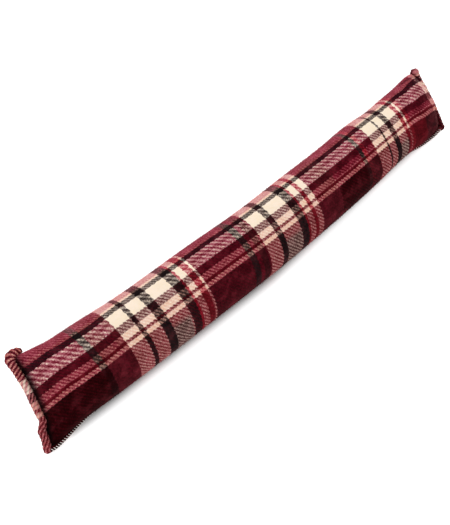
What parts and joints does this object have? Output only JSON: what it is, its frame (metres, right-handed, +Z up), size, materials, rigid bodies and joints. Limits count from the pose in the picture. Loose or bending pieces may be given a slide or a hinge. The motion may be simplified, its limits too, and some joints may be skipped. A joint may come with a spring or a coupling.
{
  "type": "draught excluder",
  "caption": "Long stuffed cloth tube in tartan with flat sewn ends edged by a rolled welt, laid along the foot of a door to stop draughts.",
  "frame": {"origin": "on the floor, under the middle of the object's box", "axes": "+X along the tube towards its far, narrower end; -Y is the front, where the lengthwise seam is; +Z up"},
  "size_m": [0.9126, 0.1452, 0.1175],
  "materials": {
    "brushed_tartan": "brushed, soft short nap",
    "rolled_tartan": "brushed, rolled and oversewn",
    "overlocked_edge": "brushed, overlocked with pale thread"
  },
  "bodies": {
    "root": {"cover": "brushed_tartan", "end_welt_near": "rolled_tartan", "end_welt_far": "rolled_tartan", "long_seam_edge": "overlocked_edge"}
  },
  "joints": []
}
